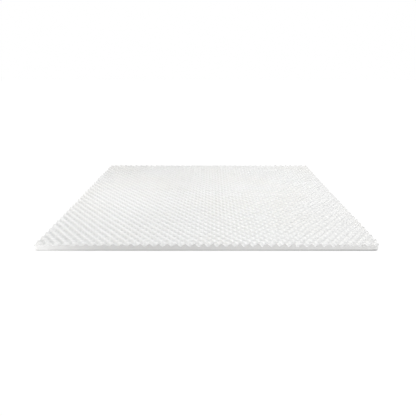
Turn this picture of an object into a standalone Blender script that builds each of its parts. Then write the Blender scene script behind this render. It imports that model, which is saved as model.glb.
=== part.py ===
"""Convoluted foam mattress topper, lying flat with its peaks up.

One piece of open-cell foam: a solid base layer whose upper side is cut into
a checkerboard of rounded peaks and dimples. X runs along the topper's length,
Y along its width, and the origin is the middle of its flat underside.
"""

import math
from collections import namedtuple

import bmesh
import bpy
import numpy as np

# Outline of a queen-size topper, 80 by 60 inches
LENGTH = 2.032
WIDTH = 1.524

# Height of the dimples above the underside, and of the peaks above the
# dimples. Together they come to two inches.
BASE = 0.0285
PEAK = 0.0220

# Distance between neighbouring peaks of one row, along X and along Y.
# The next row stands half a pitch further on, so peaks and dimples alternate.
PITCH_X = 0.0530
PITCH_Y = 0.0512

# Where the knife fell in the pattern: from the front right corner to the
# middle of the nearest peak, as it would be with its column in its even place
FIRST_PEAK_FROM_RIGHT = 0.0310
FIRST_PEAK_FROM_FRONT = 0.0055

# The outline was cut a little askew to the pattern. Metres that a row drifts
# back for each metre to the right, and a column to the right for each metre back.
ROWS_ASKEW = 0.0075
COLUMNS_ASKEW = 0.0055

# Towards both ends the columns crowd a little, more so on the right. Metres
# that a column stands off its even place: its x cubed, squared and once, times these.
COLUMNS_CROWD = (-0.0105, -0.0042, 0.0019, 0)

# The front right corner is worn round, the others are only eased
WORN_CORNER = 0.025
EASED_CORNER = 0.006

# Foam is cut a little unevenly: the largest error in the height of the upper
# side, as a sum of slow waves. Each has a length in metres, a heading in
# degrees from +X, a start in radians and its share of the whole.
UNEVENNESS = 0.0012
Wave = namedtuple("Wave", "length heading start share")
WAVES = (
    Wave(length=0.87, heading=10, start=0.4, share=0.40),
    Wave(length=0.63, heading=103, start=1.9, share=0.35),
    Wave(length=0.15, heading=41, start=2.7, share=0.25),
)

# Lines of peaks and dimples keep at least this far inside the cut edges
CLOSEST_LINE = 0.004

# Even place of the peak nearest to the front right corner
FIRST_X = LENGTH / 2 - FIRST_PEAK_FROM_RIGHT
FIRST_Y = -WIDTH / 2 + FIRST_PEAK_FROM_FRONT

WHITE = (0.86, 0.86, 0.85, 1)
ROUGHNESS = 0.95


def unevenness(x, y):
    """How far the cut lies above or below its true height."""
    error = 0
    for wave in WAVES:
        heading = math.radians(wave.heading)
        distance = x * math.cos(heading) + y * math.sin(heading)
        error = error + wave.share * np.sin(2 * np.pi * distance / wave.length + wave.start)
    return UNEVENNESS * error


def upper_height(x, y):
    """Height of the upper side: a cosine along the rows times one along the columns."""
    along = x - COLUMNS_ASKEW * (y - FIRST_Y) - np.polyval(COLUMNS_CROWD, x)
    across = y - ROWS_ASKEW * (x - FIRST_X)
    wave = np.cos(2 * np.pi * (along - FIRST_X) / PITCH_X)
    wave = wave * np.cos(2 * np.pi * (across - FIRST_Y) / PITCH_Y)
    return BASE + PEAK * (1 + wave) / 2 + unevenness(x, y)


def pattern_lines(first, pitch, length, lean, crowd=(0,)):
    """Even places of the lines, half a pitch apart, that come inside the outline.

    A line starts at its even place plus the crowding there, and leans by lean
    on its way to the far side. One that starts outside still counts where its
    other end lies inside.
    """
    half_pitch = pitch / 2
    reach = length / 2 - CLOSEST_LINE
    most = math.ceil(length / half_pitch)
    places = first + half_pitch * np.arange(-most, most + 1)
    starts = places + np.polyval(crowd, places)
    ends = starts + lean
    inside = (np.maximum(starts, ends) >= -reach) & (np.minimum(starts, ends) <= reach)
    return np.array([-length / 2, *places[inside], length / 2])


def pattern_grid():
    """Crossings of all pattern lines and cut edges, as arrays of X and Y.

    The outermost lines are the cut edges. All others follow the askew pattern
    and stop a little inside the edges.
    """
    columns_lean = COLUMNS_ASKEW * (WIDTH / 2 - FIRST_Y)
    rows_lean = ROWS_ASKEW * (-LENGTH / 2 - FIRST_X)
    columns = pattern_lines(FIRST_X, PITCH_X, LENGTH, columns_lean, COLUMNS_CROWD)
    rows = pattern_lines(FIRST_Y, PITCH_Y, WIDTH, rows_lean)
    straight_x, straight_y = np.meshgrid(columns, rows)
    reach_x = LENGTH / 2 - CLOSEST_LINE
    reach_y = WIDTH / 2 - CLOSEST_LINE
    x = straight_x + np.polyval(COLUMNS_CROWD, straight_x)
    x = np.clip(x + COLUMNS_ASKEW * (straight_y - FIRST_Y), -reach_x, reach_x)
    y = np.clip(straight_y + ROWS_ASKEW * (straight_x - FIRST_X), -reach_y, reach_y)
    x[:, 0], x[:, -1] = -LENGTH / 2, LENGTH / 2
    y[0], y[-1] = -WIDTH / 2, WIDTH / 2
    return x, y


def rounded(x, y):
    """Draws a point of the plain rectangle in, so that the corners are round.

    Inside the square at a corner, a point at shares a, b of the radius from
    the arc's centre goes to a * sqrt(1 - b * b / 2), b * sqrt(1 - a * a / 2).
    """
    radius = WORN_CORNER if x > 0 and y < 0 else EASED_CORNER
    centre_x = math.copysign(LENGTH / 2 - radius, x)
    centre_y = math.copysign(WIDTH / 2 - radius, y)
    a = (x - centre_x) / math.copysign(radius, x)
    b = (y - centre_y) / math.copysign(radius, y)
    if a <= 0 or b <= 0:
        return x, y
    return (
        centre_x + math.copysign(radius, x) * a * math.sqrt(1 - b * b / 2),
        centre_y + math.copysign(radius, y) * b * math.sqrt(1 - a * a / 2),
    )


def add_upper_side(mesh):
    """The convoluted side: each peak is joined to its neighbours by dimples."""
    grid_x, grid_y = pattern_grid()
    heights = upper_height(grid_x, grid_y)
    rows = [
        [mesh.verts.new((*rounded(x, y), z)) for x, y, z in zip(*line)]
        for line in zip(grid_x, grid_y, heights)
    ]
    for near, far in zip(rows, rows[1:]):
        for a, b, c, d in zip(near, near[1:], far[1:], far):
            if a.co.z + c.co.z < b.co.z + d.co.z:
                halves = (a, b, c), (a, c, d)
            else:
                halves = (a, b, d), (b, c, d)
            for corners in halves:
                mesh.faces.new(corners)


def add_sides_and_underside(mesh):
    """Pulls the wavy rim straight down to the floor and closes it there."""
    rim = [edge for edge in mesh.edges if edge.is_boundary]
    pulled = bmesh.ops.extrude_edge_only(mesh, edges=rim)["geom"]
    for item in pulled:
        if isinstance(item, bmesh.types.BMVert):
            item.co.z = 0
    foot = [edge for edge in mesh.edges if edge.is_boundary]
    bmesh.ops.contextual_create(mesh, geom=foot)
    bmesh.ops.recalc_face_normals(mesh, faces=mesh.faces)


def foam_material():
    """Plain white polyurethane foam."""
    material = bpy.data.materials.new("white_foam")
    material.use_nodes = True
    shader = material.node_tree.nodes["Principled BSDF"]
    shader.inputs["Base Color"].default_value = WHITE
    shader.inputs["Roughness"].default_value = ROUGHNESS
    shader.inputs["Metallic"].default_value = 0
    return material


def make_topper():
    """The whole topper as one closed solid."""
    shape = bmesh.new()
    add_upper_side(shape)
    add_sides_and_underside(shape)
    data = bpy.data.meshes.new("foam_topper")
    shape.to_mesh(data)
    shape.free()
    data.materials.append(foam_material())
    topper = bpy.data.objects.new("foam_topper", data)
    bpy.context.scene.collection.objects.link(topper)


def main():
    for leftover in list(bpy.data.objects):
        bpy.data.objects.remove(leftover)
    make_topper()


main()
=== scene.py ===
"""Convoluted foam mattress topper on a pale studio floor.

The topper is one slab of white open-cell foam. Its upper side is cut into a
checkerboard of rounded peaks and dimples, its four sides are plain knife cuts
and its underside is flat. Lengths are in metres, +Z is up, X runs along the
topper, Y across it, and the origin is the middle of the underside.
"""

import logging
import math
from dataclasses import dataclass, field
from enum import Enum
from typing import Any, Mapping, Union

import bpy
import numpy as np
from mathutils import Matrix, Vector


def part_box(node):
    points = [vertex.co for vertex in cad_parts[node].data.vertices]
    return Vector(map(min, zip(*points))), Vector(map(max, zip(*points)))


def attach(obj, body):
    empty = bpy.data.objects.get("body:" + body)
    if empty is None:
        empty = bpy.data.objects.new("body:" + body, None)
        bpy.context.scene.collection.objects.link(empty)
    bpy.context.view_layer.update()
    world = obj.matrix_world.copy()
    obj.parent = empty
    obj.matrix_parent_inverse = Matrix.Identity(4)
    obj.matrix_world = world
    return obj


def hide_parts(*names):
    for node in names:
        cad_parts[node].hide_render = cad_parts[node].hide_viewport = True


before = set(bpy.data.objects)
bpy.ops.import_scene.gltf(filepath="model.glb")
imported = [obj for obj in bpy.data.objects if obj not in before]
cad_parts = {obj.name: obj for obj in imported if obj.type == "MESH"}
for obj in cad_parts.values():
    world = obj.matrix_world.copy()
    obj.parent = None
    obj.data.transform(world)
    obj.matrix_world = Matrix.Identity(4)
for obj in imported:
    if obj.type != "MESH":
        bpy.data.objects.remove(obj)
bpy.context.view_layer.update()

NODE = "foam_topper"
BODY = "root"
Place = tuple[float, float, float]
Colour = tuple[float, float, float]
Span = tuple[float, float]
log = logging.getLogger("topper")


class Wire:
    """A socket of a node tree, which adds Math nodes when it is reckoned with."""

    def __init__(self, graph: "Graph", socket: bpy.types.NodeSocket) -> None:
        """Keeps the socket and the graph that its Math nodes go into."""
        self.graph = graph
        self.socket = socket

    def __add__(self, other: "Value") -> "Wire":
        """The sum of two values."""
        return self.graph.math("ADD", self, other)

    def __sub__(self, other: "Value") -> "Wire":
        """This value less another."""
        return self.graph.math("SUBTRACT", self, other)

    def __rsub__(self, other: "Value") -> "Wire":
        """A plain number less this value."""
        return self.graph.math("SUBTRACT", other, self)

    def __mul__(self, other: "Value") -> "Wire":
        """The product of two values."""
        return self.graph.math("MULTIPLY", self, other)

    __radd__ = __add__
    __rmul__ = __mul__


Value = Union[Wire, float]


class Graph:
    """The node tree of one material or of the world."""

    def __init__(self, owner: Union[bpy.types.Material, bpy.types.World]) -> None:
        """Empties the owner's tree.

        Args:
            owner: The material or world whose nodes are made here.
        """
        owner.use_nodes = True
        self.tree = owner.node_tree
        self.tree.nodes.clear()

    def node(
        self,
        kind: str,
        settings: Mapping[str, Any] | None = None,
        inputs: Mapping[Union[str, int], Any] | None = None,
    ) -> bpy.types.Node:
        """Adds one node of any type.

        Args:
            kind: The node's type, as its class is called.
            settings: Its properties, set before its sockets.
            inputs: Numbers, colours or wires, by socket name or place.

        Returns:
            The new node.
        """
        node = self.tree.nodes.new(kind)
        for name, value in (settings or {}).items():
            setattr(node, name, value)
        for name, value in (inputs or {}).items():
            if isinstance(value, Wire):
                self.tree.links.new(value.socket, node.inputs[name])
            else:
                node.inputs[name].default_value = value
        return node

    def wire(self, kind: str, output: Union[str, int], **made: Any) -> Wire:
        """Adds a node and returns one of its outputs.

        Args:
            kind: The node's type.
            output: The output's name or place.
            **made: The node's settings and inputs, as node() takes them.

        Returns:
            The wire from that output.
        """
        return Wire(self, self.node(kind, **made).outputs[output])

    def parts(self, vector: Wire) -> tuple[Wire, Wire, Wire]:
        """Takes a vector apart.

        Args:
            vector: The vector.

        Returns:
            Its X, Y and Z.
        """
        apart = self.node("ShaderNodeSeparateXYZ", inputs={0: vector})
        x, y, z = (Wire(self, socket) for socket in apart.outputs)
        return x, y, z

    def math(self, operation: str, *values: Value) -> Wire:
        """One Math node.

        Args:
            operation: What it does, such as ADD.
            *values: Its operands, numbers or wires.

        Returns:
            The result.
        """
        settings = {"operation": operation}
        inputs = dict(enumerate(values))
        return self.wire("ShaderNodeMath", 0, settings=settings, inputs=inputs)

    def step(self, value: Value, low: float, high: float) -> Wire:
        """A smooth step: 0 up to low, 1 from high on, and eased in between.

        Args:
            value: What is compared.
            low: Where the step starts.
            high: Where it ends. It may be less than low, for a step down.

        Returns:
            The step's height, from 0 to 1.
        """
        settings = {"interpolation_type": "SMOOTHSTEP"}
        inputs = {"Value": value, "From Min": low, "From Max": high}
        return self.wire("ShaderNodeMapRange", 0, settings=settings, inputs=inputs)

    def mix(self, share: Value, low: Union[Wire, Colour], high: Colour) -> Wire:
        """A blend of two colours.

        A Mix node has its colours on the sockets 6 and 7 and the blend on 2.

        Args:
            share: 0 gives low and 1 gives high.
            low: A colour or a wire.
            high: A colour.

        Returns:
            The blended colour.
        """
        first = low if isinstance(low, Wire) else (*low, 1.0)
        settings = {"data_type": "RGBA"}
        inputs = {0: share, 6: first, 7: (*high, 1.0)}
        return self.wire("ShaderNodeMix", 2, settings=settings, inputs=inputs)

    def noise(self, place: Wire, size: float, detail: float) -> Wire:
        """Soft noise, mostly from 0.3 to 0.7.

        Args:
            place: The coordinates.
            size: Width of a cloud of the noise.
            detail: How many times it is laid over itself at half the width.

        Returns:
            The noise.
        """
        inputs = {"Vector": place, "Scale": 1 / size, "Detail": detail}
        return self.wire("ShaderNodeTexNoise", 0, inputs=inputs)

    def pits(self, place: Wire, size: float, inner: float, outer: float) -> Wire:
        """Round pits, one in each cell of a Voronoi pattern.

        Args:
            place: The coordinates.
            size: Width of a cell.
            inner: Share of a cell within which a pit is at its deepest.
            outer: Share of a cell at which it ends.

        Returns:
            The pits' depth, from 0 to 1.
        """
        inputs = {"Vector": place, "Scale": 1 / size}
        distance = self.wire("ShaderNodeTexVoronoi", 0, inputs=inputs)
        return self.step(distance, outer, inner)


@dataclass(frozen=True)
class FoamFinish:
    """White open-cell foam: pores, bubbles, cloudy tone, painted shade and a painted contact
    shadow at the foot.

    Sizes are in metres. A span holds both ends of a smooth step, counted in
    noise, shares of a cell, the Z of a normal or metres along the topper.
    Tones, rises and drops are a mark's shares in the colour and the relief.
    """

    name: str = "white_open_cell_foam"
    white: Colour = (0.842, 0.842, 0.837)
    cream: Colour = (0.838, 0.829, 0.806)
    pore_shade: Colour = (0.745, 0.745, 0.740)
    painted_dimple_shade: Colour = (0.702, 0.704, 0.704)
    painted_side_shade: Colour = (0.745, 0.742, 0.732)
    painted_foot_shadow: Colour = (0.400, 0.400, 0.402)
    roughness: float = 0.96
    specular: float = 0.2
    pore: float = 0.0021
    bubble: float = 0.011
    cloud: float = 0.017
    patch: float = 0.42
    blade_line: float = 0.0024
    blade_stroke: float = 0.11
    foot_full: float = 0.007
    foot_end: float = 0.013
    foot_faint: float = 0.45
    foot_deepens: Span = (0.1, 0.9)
    creamy_noise: Span = (0.35, 0.75)
    cloud_detail: float = 3.0
    pore_span: Span = (0.05, 0.40)
    bubble_span: Span = (0.05, 0.17)
    line_noise: Span = (0.45, 0.75)
    line_detail: float = 2.0
    steepness_of_cuts: Span = (0.5, 0.3)
    pore_tone: float = 0.40
    bubble_tone: float = 0.75
    cloud_tone: float = 0.25
    clear_of_clouds: float = 0.05
    line_tone: float = 0.20
    cloud_rise: float = 0.5
    bubble_drop: float = 2.0
    line_drop: float = 0.6
    relief: float = 0.0007
    relief_strength: float = 0.6

    def material(self, base: float, peak: float) -> bpy.types.Material:
        """Makes the material.

        Large clouds turn the white a little creamy. Painted shade darkens the
        tone from the peaks down into the dimples and darkens the cut sides,
        which carry level blade lines, and a painted contact shadow darkens them
        where they meet the floor, most towards the right end. Over all of it lie
        pores, sparser bubbles and small clouds, which also make the relief.

        Args:
            base: Height of the dimples' floors.
            peak: Height of a peak above them.

        Returns:
            The finished material.
        """
        material = bpy.data.materials.new(self.name)
        graph = Graph(material)
        place = graph.wire("ShaderNodeTexCoord", "Object")
        along, _, height = graph.parts(place)
        upright = self.upright(graph)

        creamy = graph.step(
            graph.noise(place, self.patch, self.cloud_detail), *self.creamy_noise
        )
        tone = graph.mix(creamy, self.white, self.cream)
        # painted shade: the dimples are darker than the peaks
        sunk = 1.0 - graph.step(height, base, base + peak)
        tone = graph.mix(sunk * (1.0 - upright), tone, self.painted_dimple_shade)
        # painted shade: the cut sides are darker than the upper side
        tone = graph.mix(upright, tone, self.painted_side_shade)
        # painted contact shadow along the foot of the cut sides, deeper towards the right end
        foot = graph.step(height, self.foot_end, self.foot_full) * upright
        deeper = graph.step(along, *self.foot_deepens) * (1 - self.foot_faint)
        tone = graph.mix(foot * (self.foot_faint + deeper), tone, self.painted_foot_shadow)

        pores = graph.pits(place, self.pore, *self.pore_span)
        bubbles = graph.pits(place, self.bubble, *self.bubble_span)
        clouds = graph.noise(place, self.cloud, self.cloud_detail)
        lines = self.blade_lines(graph, place) * upright
        pitted = graph.math("MAXIMUM", pores * self.pore_tone, bubbles * self.bubble_tone)
        flecked = pitted + clouds * self.cloud_tone - self.clear_of_clouds
        tone = graph.mix(flecked, tone, self.pore_shade)
        tone = graph.mix(lines * self.line_tone, tone, self.pore_shade)

        bumps = clouds * self.cloud_rise - pores
        bumps = bumps - bubbles * self.bubble_drop - lines * self.line_drop
        inputs = {
            "Strength": self.relief_strength,
            "Distance": self.relief,
            "Height": bumps,
        }
        bump = graph.wire("ShaderNodeBump", "Normal", inputs=inputs)
        inputs = {
            "Base Color": tone,
            "Roughness": self.roughness,
            "Metallic": 0.0,
            "Specular IOR Level": self.specular,
            "Normal": bump,
        }
        shader = graph.wire("ShaderNodeBsdfPrincipled", 0, inputs=inputs)
        graph.node("ShaderNodeOutputMaterial", inputs={"Surface": shader})
        return material

    def upright(self, graph: Graph) -> Wire:
        """Where the foam is a cut side: 1 on upright faces and 0 on slopes.

        Args:
            graph: The material's nodes.

        Returns:
            The mask, from how level the face's normal lies.
        """
        normal = graph.wire("ShaderNodeNewGeometry", "Normal")
        steepness = graph.math("ABSOLUTE", graph.parts(normal)[2])
        return graph.step(steepness, *self.steepness_of_cuts)

    def blade_lines(self, graph: Graph, place: Wire) -> Wire:
        """Level marks of the cutting blade: noise drawn out along the side.

        Args:
            graph: The material's nodes.
            place: The coordinates.

        Returns:
            The marks, from 0 to 1.
        """
        stretch = (1 / self.blade_stroke, 1 / self.blade_stroke, 1 / self.blade_line)
        inputs = {"Vector": place, "Scale": stretch}
        drawn = graph.wire("ShaderNodeMapping", 0, inputs=inputs)
        return graph.step(graph.noise(drawn, 1.0, self.line_detail), *self.line_noise)


@dataclass(frozen=True)
class PaperFinish:
    """White studio paper, bright enough to lose every shadow."""

    name: str = "studio_paper"
    colour: Colour = (0.12, 0.12, 0.12)
    glow: float = 0.90

    def material(self) -> bpy.types.Material:
        """Makes the material: matt paper with a glow of its own.

        Returns:
            The finished material.
        """
        material = bpy.data.materials.new(self.name)
        graph = Graph(material)
        inputs = {
            "Base Color": (*self.colour, 1.0),
            "Roughness": 1.0,
            "Specular IOR Level": 0.0,
            "Emission Color": (1.0, 1.0, 1.0, 1.0),
            "Emission Strength": self.glow,
        }
        shader = graph.wire("ShaderNodeBsdfPrincipled", 0, inputs=inputs)
        graph.node("ShaderNodeOutputMaterial", inputs={"Surface": shader})
        return material


@dataclass(frozen=True)
class Wave:
    """A level wave over the slab, which makes its pattern a little uneven."""

    length: float
    heading: float
    start: float
    size: float

    def at(self, x: np.ndarray, y: np.ndarray) -> np.ndarray:
        """The wave's height: its size times a sine of the way along its heading.

        Args:
            x: Places along the topper.
            y: Places across it.

        Returns:
            The heights.
        """
        heading = math.radians(self.heading)
        distance = x * math.cos(heading) + y * math.sin(heading)
        return self.size * np.sin(2 * np.pi * distance / self.length + self.start)


@dataclass
class Convolution:
    """The pattern of peaks and dimples in the upper side.

    Askew says how far a row or column leans for each metre of its way. The
    columns' crowding has the factors of a place's cube, its square, itself
    and 1.
    """

    length: float
    width: float
    base: float = 0.0285
    peak: float = 0.0220
    pitch_x: float = 0.0530
    pitch_y: float = 0.0512
    first_peak_from_right: float = 0.0310
    first_peak_from_front: float = 0.0055
    rows_askew: float = 0.0075
    columns_askew: float = 0.0055
    columns_crowd: tuple[float, ...] = (-0.0105, -0.0042, 0.0019, 0.0)
    samples: int = 8
    closest_line: float = 0.3
    rise_and_fall: tuple[Wave, ...] = (
        Wave(length=0.87, heading=10, start=0.4, size=0.00048),
        Wave(length=0.63, heading=103, start=1.9, size=0.00042),
        Wave(length=0.15, heading=41, start=2.7, size=0.00030),
    )
    sway_along: Wave = Wave(length=0.246, heading=64, start=0.6, size=0.0006)
    sway_across: Wave = Wave(length=0.273, heading=-34, start=2.1, size=0.0006)
    unlike_peaks: tuple[Wave, ...] = (
        Wave(length=0.082, heading=22, start=0.0, size=0.0003),
        Wave(length=0.097, heading=125, start=1.0, size=0.0002),
    )

    @property
    def first_x(self) -> float:
        """Even place of the column of the peak nearest to the front right corner."""
        return self.length / 2 - self.first_peak_from_right

    @property
    def first_y(self) -> float:
        """Place of that peak's row at that column."""
        return self.first_peak_from_front - self.width / 2

    def lines(self, first: float, pitch: float, length: float) -> np.ndarray:
        """Straight grid lines that sample the pattern, with the two cut edges.

        Lines stand a share of a pitch apart, counted from a peak, and those
        that would fall almost on an edge are left out.

        Args:
            first: Place of a peak.
            pitch: Distance between peaks.
            length: Length of the foam, which is centred on 0.

        Returns:
            The lines' places, in order.
        """
        gap = pitch / self.samples
        lowest = math.ceil((-length / 2 - first) / gap + self.closest_line)
        highest = math.floor((length / 2 - first) / gap - self.closest_line)
        inner = first + gap * np.arange(lowest, highest + 1)
        return np.concatenate([[-length / 2], inner, [length / 2]])

    def height(self, x: np.ndarray, y: np.ndarray) -> np.ndarray:
        """Height of the upper side.

        A cosine along the rows times a cosine along the columns is 1 on a
        peak and -1 in a dimple. The height is the base plus the peak's
        height times half of one more than that. Rows and columns lie a
        little askew to the cut edges and sway, and columns crowd towards
        both ends: each stands off its even place by a cubic of its x. The
        peaks are a little unlike, and the cut rises and falls in slow waves.

        Args:
            x: Places along the topper.
            y: Places across it.

        Returns:
            Heights above the underside.
        """
        along = x - self.first_x - self.columns_askew * (y - self.first_y)
        across = y - self.first_y - self.rows_askew * (x - self.first_x)
        along = along - np.polyval(self.columns_crowd, x)
        along = along + self.sway_along.at(x, y)
        across = across + self.sway_across.at(x, y)
        wave = np.cos(2 * np.pi * along / self.pitch_x)
        wave = wave * np.cos(2 * np.pi * across / self.pitch_y)
        share = (1 + wave) / 2
        peak = self.peak + sum(unlike.at(x, y) for unlike in self.unlike_peaks)
        drift = sum(slow.at(x, y) for slow in self.rise_and_fall)
        return self.base + peak * share + drift


@dataclass
class Outline:
    """The slab seen from above: a rectangle with rounded corners."""

    length: float
    width: float
    worn_corner: float = 0.025
    eased_corner: float = 0.006

    def rounded(self, x: np.ndarray, y: np.ndarray) -> tuple[np.ndarray, np.ndarray]:
        """Draws points of the plain rectangle in, so that its corners are round.

        In the square at a corner, a point at shares a and b of the radius
        from the arc's middle goes to a times the root of 1 - b * b / 2, and
        b times the root of 1 - a * a / 2. That turns the square's rim into
        the arc. The front right corner is worn more than the others.

        Args:
            x: Places along the topper.
            y: Places across it.

        Returns:
            The moved places.
        """
        worn = (x > 0) & (y < 0)
        radius = np.where(worn, self.worn_corner, self.eased_corner)
        middle_x = self.length / 2 - radius
        middle_y = self.width / 2 - radius
        a = np.clip((np.abs(x) - middle_x) / radius, 0, 1)
        b = np.clip((np.abs(y) - middle_y) / radius, 0, 1)
        arc_x = middle_x + radius * a * np.sqrt(1 - b * b / 2)
        arc_y = middle_y + radius * b * np.sqrt(1 - a * a / 2)
        in_corner = (a > 0) & (b > 0)
        return (
            np.where(in_corner, np.sign(x) * arc_x, x),
            np.where(in_corner, np.sign(y) * arc_y, y),
        )


class Side(Enum):
    """The four cut sides, in the order in which the rim runs round them."""

    FRONT = 0
    RIGHT = 1
    BACK = 2
    LEFT = 3


@dataclass(frozen=True)
class MapLayout:
    """Where each part of the surface lies on the slab's flat map.

    The upper side lies at the foot of the map, the cut sides are strips
    above it, and the underside is a smaller picture above the strips.
    """

    length: float
    width: float
    share_of_map: float = 0.80
    gap: float = 0.006
    tallest: float = 0.060
    under_share: float = 0.40

    @property
    def scale(self) -> float:
        """Map lengths for each metre of foam."""
        return self.share_of_map / self.length

    def upper(self, places: np.ndarray) -> np.ndarray:
        """Map places of points seen from above, in rows of X and Y."""
        return (places + [self.length / 2, self.width / 2]) * self.scale + self.gap

    def strip(self, side: np.ndarray, along: np.ndarray, up: np.ndarray) -> np.ndarray:
        """Map places of points on the cut sides.

        Args:
            side: Number of the side for each point.
            along: Way along that side.
            up: Way up it.

        Returns:
            Map places, in rows of two.
        """
        first = self.width * self.scale + 2 * self.gap
        rise = first + side * (self.tallest * self.scale + self.gap)
        return np.stack([along * self.scale + self.gap, up * self.scale + rise], axis=-1)

    def under(self, places: np.ndarray) -> np.ndarray:
        """Map places of points seen from below.

        Args:
            places: Rows of X and Y.

        Returns:
            Map places, turned over so that the picture isn't mirrored.
        """
        strips = len(Side) * (self.tallest * self.scale + self.gap)
        rise = self.width * self.scale + 2 * self.gap + strips
        flat = places * [1, -1] + [self.length / 2, self.width / 2]
        return flat * self.scale * self.under_share + [self.gap, rise]


@dataclass
class Patch:
    """Part of a mesh: its faces by vertex number, and their corners' map places."""

    faces: list[list[int]]
    places: np.ndarray


@dataclass
class UpperSide:
    """The convoluted side, a height over a grid of lines."""

    pattern: Convolution
    outline: Outline

    def __post_init__(self) -> None:
        """Works out the grid, its vertices and the numbers of its rim."""
        pattern = self.pattern
        lines_x = pattern.lines(pattern.first_x, pattern.pitch_x, pattern.length)
        lines_y = pattern.lines(pattern.first_y, pattern.pitch_y, pattern.width)
        x, y = np.meshgrid(lines_x, lines_y)
        z = pattern.height(x, y)
        x, y = self.outline.rounded(x, y)
        self.vertices = np.stack([x, y, z], axis=-1).reshape(-1, 3)
        self.numbers = np.arange(x.size).reshape(x.shape)
        self.edges = self.edge_numbers()
        self.rim = np.concatenate(self.edges)

    def edge_numbers(self) -> list[np.ndarray]:
        """Vertices of each side's rim, from the front left, less its last one."""
        grid = self.numbers
        return [grid[0, :-1], grid[:-1, -1], grid[-1, :0:-1], grid[:0:-1, 0]]

    def patch(self, layout: MapLayout) -> Patch:
        """The grid's cells, each with its corners in turn.

        Args:
            layout: The slab's map.

        Returns:
            The faces, mapped as they are seen from above.
        """
        grid = self.numbers
        corners = [grid[:-1, :-1], grid[:-1, 1:], grid[1:, 1:], grid[1:, :-1]]
        faces = np.stack(corners, axis=-1).reshape(-1, 4)
        places = layout.upper(self.vertices[faces.ravel(), :2])
        return Patch(faces.tolist(), places)


@dataclass
class CutSides:
    """The four knife cuts, carried down from the rim and turned in at the foot."""

    upper: UpperSide
    foot_radius: float = 0.0018
    foot_steps: int = 2

    def __post_init__(self) -> None:
        """Works out the rings of vertices, from the top down."""
        rim = self.upper.vertices[self.upper.rim]
        self.rings = self.foot_rings(rim)
        self.vertices = self.rings.reshape(-1, 3)
        start = len(self.upper.vertices)
        numbers = np.arange(len(self.vertices)).reshape(self.rings.shape[:2])
        self.numbers = np.concatenate([self.upper.rim[None], numbers + start])
        self.foot = self.numbers[-1]

    def foot_rings(self, rim: np.ndarray) -> np.ndarray:
        """Rings of vertices round the foot, as a quarter circle.

        At the angle t, a ring lies inwards by the radius times 1 - cos(t)
        and at a height of the radius times 1 - sin(t).

        Args:
            rim: Vertices of the rim.

        Returns:
            The rings: (rings, rim, 3).
        """
        along = np.roll(rim, -1, axis=0)[:, :2] - np.roll(rim, 1, axis=0)[:, :2]
        inward = np.stack([-along[:, 1], along[:, 0]], axis=1)
        inward /= np.linalg.norm(inward, axis=1, keepdims=True)
        turn = np.linspace(0, np.pi / 2, self.foot_steps + 1)[:, None]
        inset = self.foot_radius * (1 - np.cos(turn))
        rings = np.empty((len(turn), len(rim), 3))
        rings[:, :, :2] = rim[None, :, :2] + inset[:, :, None] * inward[None]
        rings[:, :, 2] = self.foot_radius * (1 - np.sin(turn))
        return rings

    def patch(self, layout: MapLayout) -> Patch:
        """Faces between one ring and the next.

        The way along a side is counted from its first corner, and the way up
        it follows the turned-in foot.

        Args:
            layout: The slab's map.

        Returns:
            The faces, with each side in a strip of its own.
        """
        after = np.roll(self.numbers, -1, axis=1)
        corners = [self.numbers[1:], after[1:], after[:-1], self.numbers[:-1]]
        faces = np.stack(corners, axis=-1)

        rim = self.upper.vertices[self.upper.rim]
        counts = [len(edge) for edge in self.upper.edges]
        side = np.repeat([each.value for each in Side], counts)
        step = np.linalg.norm(np.roll(rim, -1, axis=0)[:, :2] - rim[:, :2], axis=1)
        travel = np.concatenate([[0], np.cumsum(step)])
        begun = travel[np.concatenate([[0], np.cumsum(counts)])[side]]
        here, there = travel[:-1] - begun, travel[1:] - begun

        quarter = self.foot_radius * np.pi / 2
        bend = np.linspace(quarter, 0, len(self.rings))[:, None] + np.zeros(len(rim))
        up = np.concatenate([[rim[:, 2] - self.foot_radius + quarter], bend])
        up_after = np.roll(up, -1, axis=1)
        ways = [here, there, there, here]
        rises = [up[1:], up_after[1:], up_after[:-1], up[:-1]]
        along = np.stack([way + np.zeros_like(up[1:]) for way in ways], axis=-1)
        sides = np.broadcast_to(side[None, :, None], along.shape)
        places = layout.strip(sides, along, np.stack(rises, axis=-1))
        return Patch(faces.reshape(-1, 4).tolist(), places.reshape(-1, 2))


@dataclass
class Underside:
    """The flat underside, one face inside the foot."""

    cut: CutSides

    def patch(self, layout: MapLayout) -> Patch:
        """The face, with its corners the other way round than the foot's.

        Args:
            layout: The slab's map.

        Returns:
            The face and its map places.
        """
        foot = self.cut.rings[-1][::-1]
        return Patch([self.cut.foot[::-1].tolist()], layout.under(foot[:, :2]))


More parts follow.
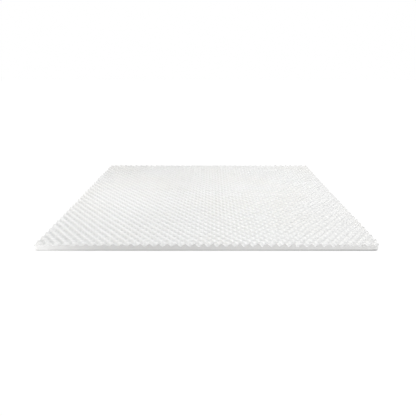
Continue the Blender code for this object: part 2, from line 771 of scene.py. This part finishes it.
@dataclass
class Topper:
    """The whole slab of foam: upper side, four cut sides and underside."""

    length: float
    width: float
    name: str = "convoluted_foam"
    finish: FoamFinish = field(default_factory=FoamFinish)

    def build(self) -> bpy.types.Object:
        """Makes the slab as one closed mesh and dresses it.

        Returns:
            The finished piece.
        """
        pattern = Convolution(self.length, self.width)
        upper = UpperSide(pattern, Outline(self.length, self.width))
        cut = CutSides(upper)
        layout = MapLayout(self.length, self.width)
        patches = [side.patch(layout) for side in (upper, cut, Underside(cut))]
        vertices = np.concatenate([upper.vertices, cut.vertices])
        mesh = self.mesh_of(vertices, patches, [upper.rim, cut.foot])
        mesh.materials.append(self.finish.material(pattern.base, pattern.peak))
        piece = bpy.data.objects.new(self.name, mesh)
        bpy.context.scene.collection.objects.link(piece)
        return piece

    def mesh_of(
        self, vertices: np.ndarray, patches: list[Patch], creases: list[np.ndarray]
    ) -> bpy.types.Mesh:
        """Puts the patches into one mesh.

        Args:
            vertices: All vertices.
            patches: The parts of the surface.
            creases: Loops of vertices along which the surface has an edge.

        Returns:
            The mesh, smooth but for its creases, with its map.
        """
        mesh = bpy.data.meshes.new(self.name)
        faces = [face for patch in patches for face in patch.faces]
        mesh.from_pydata(vertices.tolist(), [], faces)
        mesh.shade_smooth()
        layer = mesh.uv_layers.new(name="OFBake")
        places = np.concatenate([patch.places for patch in patches])
        layer.uv.foreach_set("vector", places.astype(np.float32).ravel())
        mesh.edges.foreach_set("use_edge_sharp", self.sharp_edges(mesh, creases))
        mesh.update()
        return mesh

    def sharp_edges(self, mesh: bpy.types.Mesh, creases: list[np.ndarray]) -> np.ndarray:
        """Finds the edges with both ends on one crease.

        Args:
            mesh: The mesh.
            creases: Loops of vertices.

        Returns:
            For each edge, whether it is sharp.
        """
        ends = np.empty(len(mesh.edges) * 2, dtype=np.int32)
        mesh.edges.foreach_get("vertices", ends)
        loop_of = np.zeros(len(mesh.vertices), dtype=np.int32)
        for number, crease in enumerate(creases, start=1):
            loop_of[crease] = number
        first, second = loop_of[ends].reshape(-1, 2).T
        return (first > 0) & (first == second)


@dataclass(frozen=True)
class Softbox:
    """A square light with a cloth front."""

    name: str
    place: Place
    aim: Place
    side: float
    power: float

    def build(self) -> None:
        """Hangs the light, turned towards what it lights."""
        data = bpy.data.lights.new(self.name, type="AREA")
        data.shape = "SQUARE"
        data.size = self.side
        data.energy = self.power
        light = bpy.data.objects.new(self.name, data)
        light.location = self.place
        look = Vector(self.aim) - Vector(self.place)
        light.rotation_euler = look.to_track_quat("-Z", "Y").to_euler()
        bpy.context.scene.collection.objects.link(light)


@dataclass(frozen=True)
class Window:
    """A large light so far away that it lights the whole slab evenly."""

    name: str
    heading: float
    above_floor: float
    strength: float
    spread: float = 20.0

    def build(self) -> None:
        """Makes the light as a soft sun, which shines from its heading in degrees."""
        data = bpy.data.lights.new(self.name, type="SUN")
        data.energy = self.strength
        data.angle = math.radians(self.spread)
        light = bpy.data.objects.new(self.name, data)
        tilt = math.radians(90 - self.above_floor)
        light.rotation_euler = (0.0, tilt, math.radians(self.heading))
        bpy.context.scene.collection.objects.link(light)


@dataclass(frozen=True)
class Backdrop:
    """A plain white backdrop, which the camera sees but which sheds no light."""

    brightness: float = 1.0

    def build(self) -> None:
        """Makes the world."""
        world = bpy.data.worlds.new("white_backdrop")
        bpy.context.scene.world = world
        graph = Graph(world)
        seen = graph.wire("ShaderNodeLightPath", "Is Camera Ray")
        inputs = {"Color": (1.0, 1.0, 1.0, 1.0), "Strength": seen * self.brightness}
        shown = graph.wire("ShaderNodeBackground", 0, inputs=inputs)
        graph.node("ShaderNodeOutputWorld", inputs={"Surface": shown})


@dataclass(frozen=True)
class Floor:
    """A plain square of paper, just below the foam."""

    side: float = 40.0
    drop: float = 0.0003
    finish: PaperFinish = field(default_factory=PaperFinish)

    def build(self) -> None:
        """Lays the paper."""
        half = self.side / 2
        corners = [(-half, -half), (half, -half), (half, half), (-half, half)]
        mesh = bpy.data.meshes.new("paper_floor")
        mesh.from_pydata([(x, y, -self.drop) for x, y in corners], [], [(0, 1, 2, 3)])
        mesh.materials.append(self.finish.material())
        floor = bpy.data.objects.new("paper_floor", mesh)
        bpy.context.scene.collection.objects.link(floor)


@dataclass(frozen=True)
class Camera:
    """A wide view from in front, a metre above the floor."""

    eye: Place = (0.019, -2.249, 0.996)
    look_down: float = 25.64
    sensor: float = 36.0
    lens: float = 25.92
    shift: float = -0.0061

    def build(self) -> None:
        """Sets the camera up and shows colours as they are."""
        data = bpy.data.cameras.new("camera")
        data.sensor_width = self.sensor
        data.lens = self.lens
        data.shift_x = self.shift
        camera = bpy.data.objects.new("camera", data)
        camera.location = self.eye
        camera.rotation_euler = (math.radians(90 - self.look_down), 0.0, 0.0)
        scene = bpy.context.scene
        scene.collection.objects.link(camera)
        scene.camera = camera
        scene.view_settings.view_transform = "Standard"


@dataclass
class Studio:
    """Floor, light and camera."""

    floor: Floor = field(default_factory=Floor)
    backdrop: Backdrop = field(default_factory=Backdrop)
    camera: Camera = field(default_factory=Camera)
    windows: tuple[Window, ...] = (
        Window("window_right", heading=0, above_floor=60, strength=0.94),
        Window("window_back", heading=90, above_floor=50, strength=0.98),
        Window("window_left", heading=180, above_floor=50, strength=1.13),
        Window("window_front", heading=-40, above_floor=35, strength=1.04),
    )
    boxes: tuple[Softbox, ...] = (
        Softbox("over_right", (0.8, 0.0, 1.6), (0.6, 0.0, 0.0), side=1.2, power=7.10),
        Softbox("over_left", (-0.75, 0.0, 0.8), (-0.95, -0.5, 0.0), side=0.4, power=0.95),
        Softbox("low_left", (-1.30, -1.15, 0.026), (-0.98, -0.76, 0.015), side=0.05, power=1.58),
        Softbox("low_right", (1.25, -1.40, 0.12), (0.85, -0.76, 0.03), side=0.35, power=1.27),
        Softbox("low_front", (0.45, -1.60, 0.25), (0.45, -0.76, 0.03), side=0.50, power=1.19),
    )

    def build(self) -> None:
        """Makes the floor, the lights and the camera."""
        self.floor.build()
        self.backdrop.build()
        for light in (*self.windows, *self.boxes):
            light.build()
        self.camera.build()


def main() -> None:
    """Builds the studio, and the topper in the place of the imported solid."""
    logging.basicConfig(level=logging.INFO, format="%(name)s: %(message)s")
    Studio().build()
    log.info("studio: floor, backdrop, lights and camera")

    low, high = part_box(NODE)
    piece = Topper(length=high[0] - low[0], width=high[1] - low[1]).build()
    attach(piece, BODY)
    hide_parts(NODE)
    log.info("%s: %d faces", piece.name, len(piece.data.polygons))


if __name__ == "__main__":
    main()
